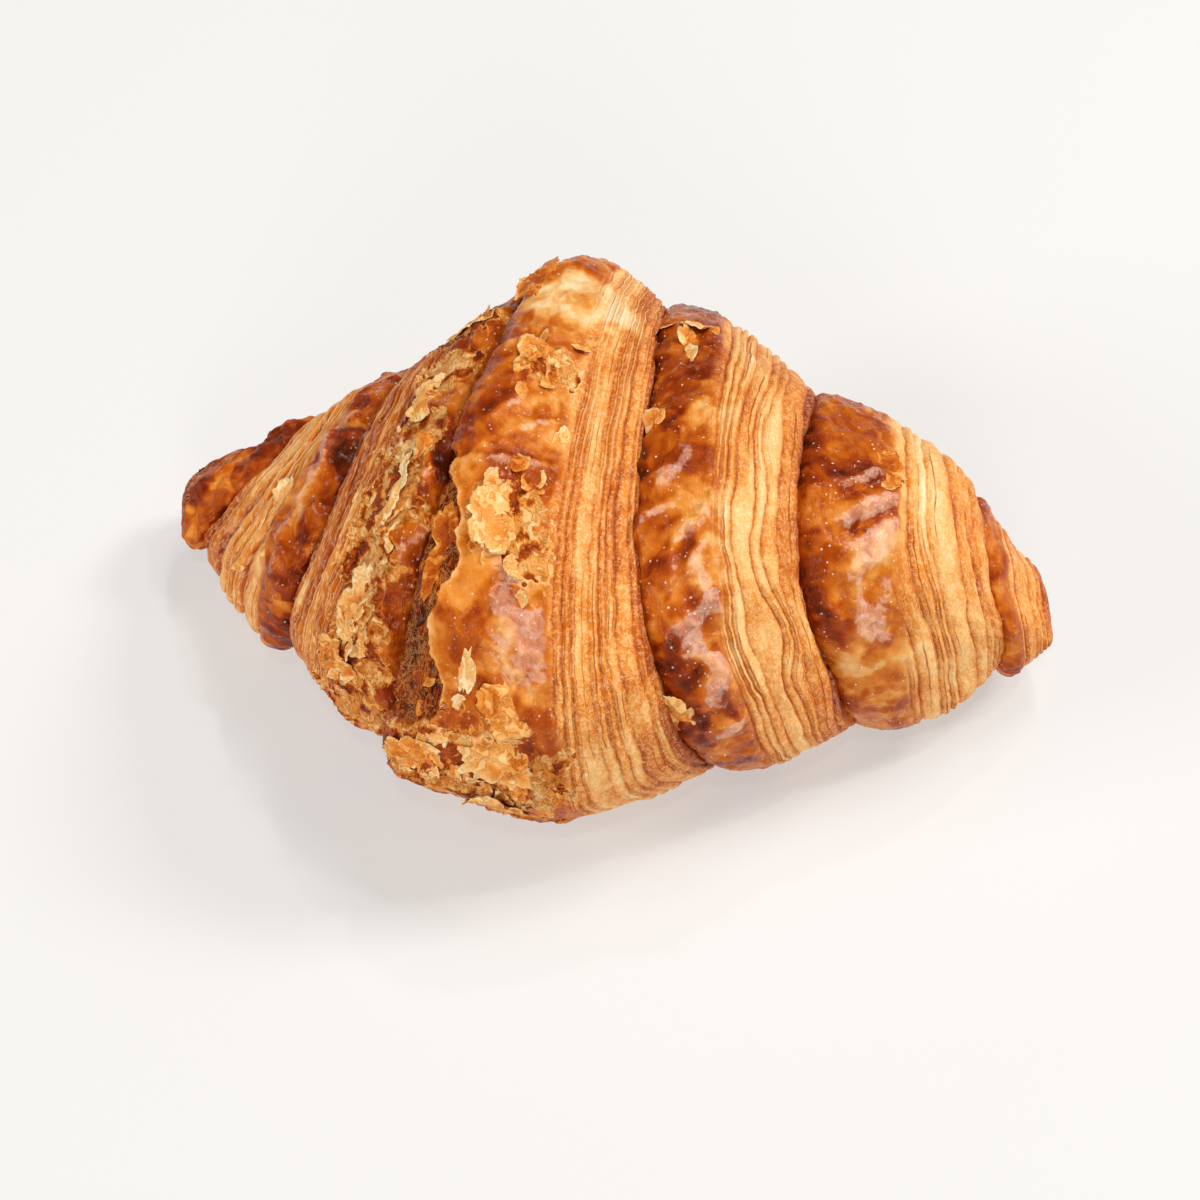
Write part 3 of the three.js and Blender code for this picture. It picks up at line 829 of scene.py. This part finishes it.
def flake(size, draw, tier, share, degrees, length, width, turn, lift, tone):
    """Thin ragged plate laid over the tier: points, faces, tone and rim."""
    rings, sides = size
    angle = math.radians(degrees)
    heading = math.radians(turn)
    home = tier.position(share, angle, 0.0)
    per_share = np.linalg.norm(tier.position(share + NUDGE, angle, 0.0) - home) / NUDGE
    per_angle = np.linalg.norm(tier.position(share, angle + NUDGE, 0.0) - home) / NUDGE
    spokes = np.arange(sides) * 2 * math.pi / sides
    circle = np.stack([np.cos(spokes), np.sin(spokes), np.zeros(sides)], -1)
    seed = int(draw.integers(1, MOST_SEEDS))
    outline = ragged_rim(circle, length + width, seed, draw)
    reach = np.linspace(0, 1, rings + 1)[1:] ** 0.8
    radial = reach[:, None] * outline[None, :]
    x = np.append(0, radial * circle[:, 0])
    y = np.append(0, radial * circle[:, 1])
    along = x * math.cos(heading) + y * math.sin(heading)
    out = np.clip(0.5 + 0.5 * along, 0, 1.2)
    side = y * math.cos(heading) - x * math.sin(heading)
    span = np.stack([x * width, y * length, np.zeros(len(x))], -1) / 2
    wave = 0.22 * layered_noise(span / 2.6 + seed % 97, seed + 3, 3)
    level = lift * out ** 2 + wave * (0.4 + out) + 0.25 * lift * side ** 2 * out - FLAKE_DEPTH
    at_share = np.clip(share + span[:, 0] / per_share, 0.0, 0.97)
    at_angle = angle + span[:, 1] / per_angle
    ground = tier.sample(at_share, at_angle, tier.points)
    normal = unit_vectors(tier.sample(at_share, at_angle, tier.normal))
    rim = np.append(0, np.repeat(reach, sides))
    thick = FLAKE_THICKNESS * np.where(rim < 1, 1 - 0.5 * rim, 0.35)
    top = ground + normal * level[:, None]
    points = np.concatenate([top, top - normal * thick[:, None]])
    points[:, 2] = np.maximum(points[:, 2], FLOOR_GAP)
    quads, fan = plate_faces(rings, sides)
    a, b, c = top[fan[0]]
    if np.dot(np.cross(b - a, c - a), normal[0]) < 0:
        quads, fan = quads[:, ::-1], fan[:, ::-1]
    shade = tone + 0.1 + 0.12 * layered_noise(span / 3.1 + 5, seed + 4, 2) + 0.08 * (0.5 - out)
    return points, quads, fan, np.tile(shade, 2), np.tile(rim ** 3, 2)


def flakes_piece(name, rows, size, material, draw):
    """All flakes of one kind as one mesh."""
    named = {tier.name: tier for tier in TIERS}
    flakes = []
    total = 0
    for tier, *place in rows:
        cloud, quads, fan, tone, rim = flake(size, draw, named[tier], *place)
        flakes.append((cloud, quads + total, fan + total, tone, rim))
        total += len(cloud)
    points, quads, fans, tones, rims = (np.concatenate(part) for part in zip(*flakes))
    masks = {"tone": tones, "rim": rims}
    return make_mesh(name, to_frame(points), [quads, fans], masks, material)


def scattered_rows(draw):
    """Rows like those of the large flakes, drawn within the scatter's shares and angles."""
    rows = []
    for name, shares, angles, count in SCATTER:
        for _ in range(count):
            width = draw.uniform(*SCATTER_WIDTH)
            rows.append((
                name, draw.uniform(*shares), draw.uniform(*angles),
                width * draw.uniform(*SCATTER_STRETCH), width, draw.uniform(0, 360),
                draw.uniform(*SCATTER_LIFT), draw.uniform(*SCATTER_TONE),
            ))
    return rows


# Materials

# Colours of the crust from pale to burnt, by tone
TONES = (
    (0.0, (0.94, 0.71, 0.40)),
    (0.13, (0.90, 0.56, 0.22)),
    (0.25, (0.86, 0.43, 0.125)),
    (0.38, (0.75, 0.265, 0.036)),
    (0.52, (0.58, 0.138, 0.007)),
    (0.66, (0.41, 0.066, 0.002)),
    (0.80, (0.25, 0.027, 0.001)),
    (0.92, (0.12, 0.012, 0.001)),
    (1.0, (0.04, 0.005, 0.001)),
)
LINE_COLOUR = (0.38, 0.06, 0.003, 1)
BEAD_COLOUR = (1.0, 0.78, 0.50, 1)
BARE_COLOUR = (0.70, 0.33, 0.08, 1)
# Pink white of the painted sheen, a highlight painted into the colour
PAINTED_SHEEN_COLOUR = (0.94, 0.64, 0.50, 1)
GLAZE_COLOUR = (0.25, 0.03, 0.001, 1)
# Near white of the painted glints on the bubbles
PAINTED_BUBBLE_GLINT_COLOUR = (1.0, 0.86, 0.66, 1)
# Pale gold of the painted glints
PAINTED_GLINT_COLOUR = (1.0, 0.80, 0.52, 1)
# Scales of the textures in cells for each metre, and of the fibres for each millimetre of flow
MOTTLE_SCALE = 300
CRUMB_SCALE = 400
FLAKE_SCALE = 420
BUBBLE_SCALE = 860
SQUIGGLE_SCALE = 950
FIBRE_SCALE = (2.0, 0.22, 0.22)
BUMP_DISTANCE = 0.3 * MM
CRUST_SHINE = {
    "Specular IOR Level": 0.1, "Specular Tint": (1.0, 0.7, 0.5, 1),
    "Coat Weight": 0.15, "Coat Roughness": 0.07,
}
FLAKE_SHINE = {"Specular IOR Level": 0.2, "Specular Tint": (1.0, 0.8, 0.6, 1)}
FLOOR_COLOUR = (0.38, 0.374, 0.367, 1)
FLOOR_SHINE = {
    "Specular IOR Level": 0.1, "Emission Color": (1.0, 0.987, 0.965, 1), "Emission Strength": 0.45,
}


class Nodes:
    """Short hand for building a node tree."""

    def __init__(self, material):
        material.use_nodes = True
        self.tree = material.node_tree
        self.tree.nodes.clear()

    def add(self, kind, inputs=None, **settings):
        """New node, with values or the outputs of other nodes put into its inputs."""
        node = self.tree.nodes.new(kind)
        for key, value in settings.items():
            setattr(node, key, value)
        for key, value in (inputs or {}).items():
            if hasattr(value, "is_output"):
                self.tree.links.new(value, node.inputs[key])
            else:
                node.inputs[key].default_value = value
        return node

    def math(self, operation, a, b=0.0, clamp=False):
        node = self.add("ShaderNodeMath", {0: a, 1: b}, operation=operation, use_clamp=clamp)
        return node.outputs[0]

    def times(self, *values):
        total = values[0]
        for value in values[1:]:
            total = self.math("MULTIPLY", total, value)
        return total

    def plus(self, *values, clamp=False):
        total = values[0]
        for value in values[1:]:
            total = self.math("ADD", total, value)
        total.node.use_clamp = clamp
        return total

    def minus(self, a, b, clamp=False):
        return self.math("SUBTRACT", a, b, clamp)

    def swing(self, value, amount):
        """Value around 0.5 turned into one around 0 with the given span."""
        return self.times(self.minus(value, 0.5), amount)

    def step(self, value, low, high):
        """Smooth rise from 0 at low to 1 at high, either of which may be the larger."""
        inputs = {"Value": value, "From Min": low, "From Max": high}
        node = self.add("ShaderNodeMapRange", inputs, interpolation_type="SMOOTHSTEP")
        return node.outputs["Result"]

    def line(self, value, level, outer, inner):
        """Line where the value is near the level: 1 within inner of it and 0 beyond outer."""
        return self.step(self.math("ABSOLUTE", self.minus(value, level)), outer, inner)

    def attribute(self, name, output="Fac"):
        return self.add("ShaderNodeAttribute", attribute_name=name).outputs[output]

    def noise(self, vector, scale, detail, roughness=0.55, distortion=0.0):
        return self.add("ShaderNodeTexNoise", {
            "Vector": vector, "Scale": scale, "Detail": detail, "Roughness": roughness,
            "Distortion": distortion,
        }).outputs["Fac"]

    def between(self, a, b, amount):
        """Number that goes from a to b as the amount goes from 0 to 1."""
        return self.plus(a, self.times(self.minus(b, a), amount))

    def stretched(self, vector, scale):
        return self.add("ShaderNodeMapping", {"Vector": vector, "Scale": scale}).outputs["Vector"]

    def random(self, number):
        node = self.add("ShaderNodeTexWhiteNoise", {"W": number}, noise_dimensions="1D")
        return node.outputs["Value"]

    def dots(self, vector, scale, radius, share):
        """Small round dots of uneven strength in a share of the cells of the given scale."""
        spots = self.add("ShaderNodeTexVoronoi", {"Vector": vector, "Scale": scale}, feature="F1")
        parts = self.add("ShaderNodeSeparateColor", {0: spots.outputs["Color"]})
        chosen = self.times(self.math("LESS_THAN", parts.outputs[0], share), parts.outputs[1])
        return self.times(self.step(spots.outputs["Distance"], radius, radius * 0.4), chosen)

    def mix(self, factor, a, b):
        node = self.add("ShaderNodeMix", {"Factor": factor, "A": a, "B": b}, data_type="RGBA")
        return node.outputs["Result"]

    def colours(self, factor, stops):
        node = self.add("ShaderNodeValToRGB", {0: factor})
        elements = node.color_ramp.elements
        while len(elements) < len(stops):
            elements.new(0.5)
        for element, (place, colour) in zip(elements, stops):
            element.position = place
            element.color = (*colour, 1)
        return node.outputs["Color"]

    def finish(self, colour, rough, shine, height=None, strength=0.0):
        """Shader with the given colour and constants, and bumps where a height is given."""
        inputs = {"Base Color": colour, "Roughness": rough, **shine}
        if height is not None:
            relief = {"Strength": strength, "Distance": BUMP_DISTANCE, "Height": height}
            bump = self.add("ShaderNodeBump", relief).outputs["Normal"]
            inputs |= {"Normal": bump, "Coat Normal": bump}
        shader = self.add("ShaderNodeBsdfPrincipled", inputs)
        self.add("ShaderNodeOutputMaterial", {"Surface": shader.outputs["BSDF"]})


def layer_lines(n, m, shift, scale, width):
    """Dark edges of the layers, of uneven width and strength."""
    scaled = n.plus(n.times(m.count, scale), shift)
    inside = n.math("FRACT", scaled)
    near = n.math("MINIMUM", inside, n.minus(1.0, inside))
    reach = n.math("DIVIDE", near, n.times(m.pace, scale))
    number = n.math("FLOOR", n.plus(scaled, 0.5))
    strength = n.random(number)
    outer = n.plus(n.times(strength, width), width)
    return n.times(n.step(reach, outer, 0.06), n.plus(n.times(strength, 0.65), 0.35))


def crust_masks(n):
    """The masks that the relief wrote, and fine textures and edges worked out from them."""
    m = SimpleNamespace(**{key: n.attribute(key) for key in MASKS})
    place = n.add("ShaderNodeTexCoord").outputs["Object"]
    m.mottle = n.noise(place, MOTTLE_SCALE, 3.0, 0.6)
    m.crumbs = n.noise(place, CRUMB_SCALE, 4.0, 0.64, 1.1)
    m.cracks = n.line(m.crumbs, 0.5, 0.035, 0.008)
    m.weave = n.line(m.crumbs, 0.52, 0.05, 0.01)
    thread = n.noise(n.stretched(n.attribute("flow", "Vector"), FIBRE_SCALE), 1.0, 2.0)
    m.fibres = n.line(thread, 0.5, 0.07, 0.01)
    squiggle = n.noise(place, SQUIGGLE_SCALE, 1.0, distortion=0.6)
    m.beads = n.between(n.line(squiggle, 0.5, 0.13, 0.01), m.fibres, m.streaks)
    m.crinkle = n.between(n.line(squiggle, 0.5, 0.07, 0.01), m.fibres, m.streaks)
    lively = n.step(m.mottle, 0.45, 0.62)
    # Small bubbles: raised dots in the height, with painted glints of near white on them in the colour
    m.bubbles = n.dots(place, BUBBLE_SCALE, 0.25, n.plus(n.times(lively, 0.75), 0.2))

    lines = n.times(layer_lines(n, m, 0.0, 1.0, 0.13), m.ink)
    hairs = n.times(layer_lines(n, m, 0.37, 2.0, 0.1), m.hair)
    m.marks = n.times(n.math("MAXIMUM", lines, hairs), 0.9)
    m.glow = n.times(layer_lines(n, m, 0.0, 1.0, 0.35), m.ink)

    ragged = n.plus(m.bare, n.swing(m.crumbs, 0.9))
    m.open_skin = n.step(ragged, 0.0, 0.07)
    m.covered = n.minus(1.0, m.open_skin)
    m.rim = n.times(n.step(ragged, -0.16, -0.02), m.covered)
    return m


def crust_colour(n, m):
    """Colour of the crust: its tone, then what lies on the skin, the layers and the open patches."""
    inner = n.plus(n.minus(m.bare_tone, n.swing(m.crumbs, 0.7)), n.times(m.cracks, 0.16))
    tone = n.plus(m.tone, n.swing(m.mottle, 0.26), n.swing(m.crumbs, 0.14), n.times(m.glow, 0.1))
    tone = n.minus(tone, n.times(n.swing(m.beads, 0.1), m.lam))
    tone = n.minus(tone, n.times(n.swing(m.fibres, 0.3), m.raw))
    tone = n.minus(tone, n.times(m.rim, 0.22))
    tone = n.plus(n.between(tone, inner, m.open_skin), 0.0, clamp=True)

    # Painted sheen: ragged patches of pale pink painted highlight where the mask of painted sheen is
    # high, with a thin painted glint along each patch's border
    patches = n.step(n.plus(m.painted_sheen, n.swing(m.crumbs, 1.6)), 0.35, 1.0)
    within = n.plus(n.times(n.step(m.crumbs, 0.38, 0.66), 0.34), n.times(m.crinkle, 0.14), 0.16)
    painted_sheen_border = n.times(n.line(patches, 0.5, 0.3, 0.1), m.wet, m.covered, 0.1)
    # Painted glints on the highest crumbs of the open patches
    painted_glint = n.times(n.step(m.crumbs, 0.6, 0.74), m.open_skin, 0.5)
    seen = n.plus(n.times(m.wet, 0.9), n.times(m.lam, 0.55))

    colour = n.colours(tone, TONES)
    for amount, over in (
        (n.times(m.wet, 0.14), GLAZE_COLOUR),
        (n.times(m.crinkle, m.lam, m.covered, 0.22), BEAD_COLOUR),
        (n.times(m.weave, m.raw, 0.4), BARE_COLOUR),
        (n.times(m.marks, m.covered), LINE_COLOUR),
        (n.times(patches, within, m.covered, m.wet), PAINTED_SHEEN_COLOUR),
        (n.plus(painted_glint, painted_sheen_border, clamp=True), PAINTED_GLINT_COLOUR),
        # Painted glints on the bubbles
        (n.times(m.bubbles, seen, m.covered), PAINTED_BUBBLE_GLINT_COLOUR),
    ):
        colour = n.mix(amount, colour, over)
    return colour


def crust_height(n, m):
    """Height of the fine bumps, in bump distances."""
    torn = n.minus(n.swing(m.crumbs, 1.4), n.times(m.cracks, 0.5))
    height = n.plus(
        n.times(m.beads, n.plus(n.times(m.lam, 0.35), n.times(m.wet, 0.3))),
        n.times(m.mottle, 0.7),
        n.times(m.crumbs, 0.4),
        n.times(m.fibres, m.raw, 1.1),
        n.times(m.bubbles, 0.6),
        n.times(torn, m.open_skin),
    )
    return n.minus(height, n.times(m.marks, 0.5))


def crust_material():
    material = bpy.data.materials.new("baked crust")
    n = Nodes(material)
    m = crust_masks(n)
    rough = n.minus(0.6, n.times(m.wet, m.covered, 0.42))
    rough = n.plus(rough, n.swing(m.mottle, 0.2), clamp=True)
    n.finish(crust_colour(n, m), rough, CRUST_SHINE, crust_height(n, m), 0.9)
    return material


def flake_material():
    material = bpy.data.materials.new("loose flakes")
    n = Nodes(material)
    place = n.add("ShaderNodeTexCoord").outputs["Object"]
    tone, rim = n.attribute("tone"), n.attribute("rim")
    mottle = n.noise(place, FLAKE_SCALE, 4.0, 0.62, 0.8)
    cracks = n.line(mottle, 0.5, 0.03, 0.008)
    # Paler on the raised bumps and more orange in the hollows, painted light and shade that follows
    # the bumps, with darker cracks
    tone = n.plus(n.minus(tone, n.swing(mottle, 0.75)), n.times(cracks, 0.14))
    tone = n.minus(tone, n.times(rim, 0.16), clamp=True)
    colour = n.colours(tone, TONES)
    # Painted glints on the highest bumps of the flake
    colour = n.mix(n.times(n.step(mottle, 0.6, 0.74), 0.4), colour, PAINTED_GLINT_COLOUR)
    height = n.minus(n.times(mottle, 1.6), n.times(cracks, 0.3))
    n.finish(colour, 0.5, FLAKE_SHINE, height, 0.8)
    return material


def floor_material():
    material = bpy.data.materials.new("pale floor")
    Nodes(material).finish(FLOOR_COLOUR, 0.8, FLOOR_SHINE)
    return material


crust = crust_material()
loose = flake_material()
draw = np.random.default_rng(SCATTER_SEED)
tier_pieces = [tier_piece(tier, crust) for tier in TIERS]
flake_pieces = [
    flakes_piece("large-flakes", FLAKES, LARGE_MESH, loose, draw),
    flakes_piece("small-flakes", scattered_rows(draw), SMALL_MESH, loose, draw),
]
for piece in tier_pieces:
    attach(piece, "root")
    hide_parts(NODE)
for piece in flake_pieces:
    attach(piece, "root")
    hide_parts(NODE)


# Stage, light and camera

FLOOR_SIZE = 6.0
WORLD_COLOUR = (1.0, 0.99, 0.975, 1)
WORLD_STRENGTH = 0.14
LAMP_AIM = (0, 0, 0.02)
SPARK = (0.09, 3.4, (1.0, 1.0, 1.0))
# Lamps: name, place and size in metres, power in watts, colour
LAMPS = (
    ("key", (1.13, 0.6, 1.28), 0.45, 19.2, (1.0, 0.98, 0.95)),
    ("overhead", (0.38, 0.6, 1.95), 0.45, 8.2, (1.0, 0.99, 0.97)),
    ("front", (0.55, -1.85, 0.8), 0.6, 15.6, (1.0, 0.98, 0.96)),
    ("side", (-1.5, -0.9, 0.9), 0.68, 16.0, (1.0, 0.98, 0.96)),
    ("spark right", (0.75, 0.23, 1.65), *SPARK),
    ("spark back", (0.15, 0.9, 1.65), *SPARK),
    ("spark front", (0.15, -0.9, 1.65), *SPARK),
)
CAMERA_TURN = math.radians(12.5)
CAMERA_RISE = math.radians(48)
CAMERA_DISTANCE = 0.6
CAMERA_AIM = (0.0024, -0.0082, 0.025)
CAMERA_LENS = 98.2
CAMERA_SENSOR = 36

bpy.ops.mesh.primitive_plane_add(size=FLOOR_SIZE)
floor = bpy.context.object
floor.name = "floor"
floor.data.materials.append(floor_material())

world = bpy.data.worlds.new("studio")
bpy.context.scene.world = world
world.use_nodes = True
background = world.node_tree.nodes["Background"]
background.inputs["Color"].default_value = WORLD_COLOUR
background.inputs["Strength"].default_value = WORLD_STRENGTH


def look_from(place, aim):
    return (Vector(aim) - Vector(place)).to_track_quat("-Z", "Y").to_euler()


def area_light(name, place, size, power, colour):
    data = bpy.data.lights.new(name, "AREA")
    data.shape = "SQUARE"
    data.size = size
    data.energy = power
    data.color = colour
    lamp = bpy.data.objects.new(name, data)
    lamp.location = place
    lamp.rotation_euler = look_from(place, LAMP_AIM)
    bpy.context.collection.objects.link(lamp)


for lamp_row in LAMPS:
    area_light(*lamp_row)

camera_data = bpy.data.cameras.new("camera")
camera_data.lens = CAMERA_LENS
camera_data.sensor_width = CAMERA_SENSOR
camera = bpy.data.objects.new("camera", camera_data)
back = (
    math.sin(CAMERA_TURN) * math.cos(CAMERA_RISE),
    -math.cos(CAMERA_TURN) * math.cos(CAMERA_RISE),
    math.sin(CAMERA_RISE),
)
camera.location = [a + b * CAMERA_DISTANCE for a, b in zip(CAMERA_AIM, back)]
camera.rotation_euler = look_from(camera.location, CAMERA_AIM)
bpy.context.collection.objects.link(camera)
bpy.context.scene.camera = camera
bpy.context.scene.view_settings.view_transform = "Standard"
